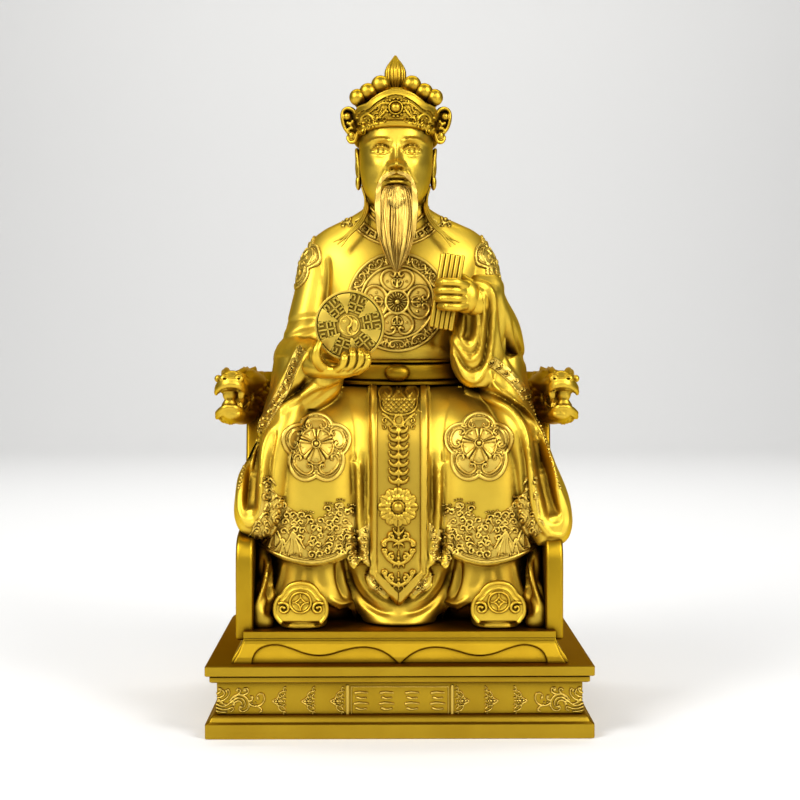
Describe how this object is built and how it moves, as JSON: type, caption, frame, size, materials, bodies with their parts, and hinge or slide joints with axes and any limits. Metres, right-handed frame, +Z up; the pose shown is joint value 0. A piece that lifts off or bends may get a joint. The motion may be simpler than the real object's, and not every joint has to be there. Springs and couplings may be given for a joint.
{
  "type": "caishen figure",
  "caption": "Cast brass ornament: a bearded robed god of wealth in a pearl-topped crown, seated on a dragon-armed throne over a moulded plinth, holding a fretwork disc and a roll of slips.",
  "frame": {"origin": "middle of the plinth's underside", "axes": "+Z up, -Y toward the front that the figure faces, +X toward the figure's left hand"},
  "size_m": [0.242, 0.19, 0.4398],
  "materials": {
    "plinth_brass": "satin cast brass with dark toning in the recesses",
    "throne_brass": "satin cast brass with dark toning in the recesses",
    "figure_brass": "polished cast brass, matt in the carved bands, with dark toning in the folds",
    "disc_brass": "satin cast brass with dark toning in the fretwork",
    "slips_brass": "satin cast brass with dark toning between the slips"
  },
  "bodies": {
    "root": {"plinth": "plinth_brass", "throne": "throne_brass", "figure": "figure_brass", "fretwork_disc": "disc_brass", "bamboo_slips": "slips_brass"}
  },
  "joints": []
}
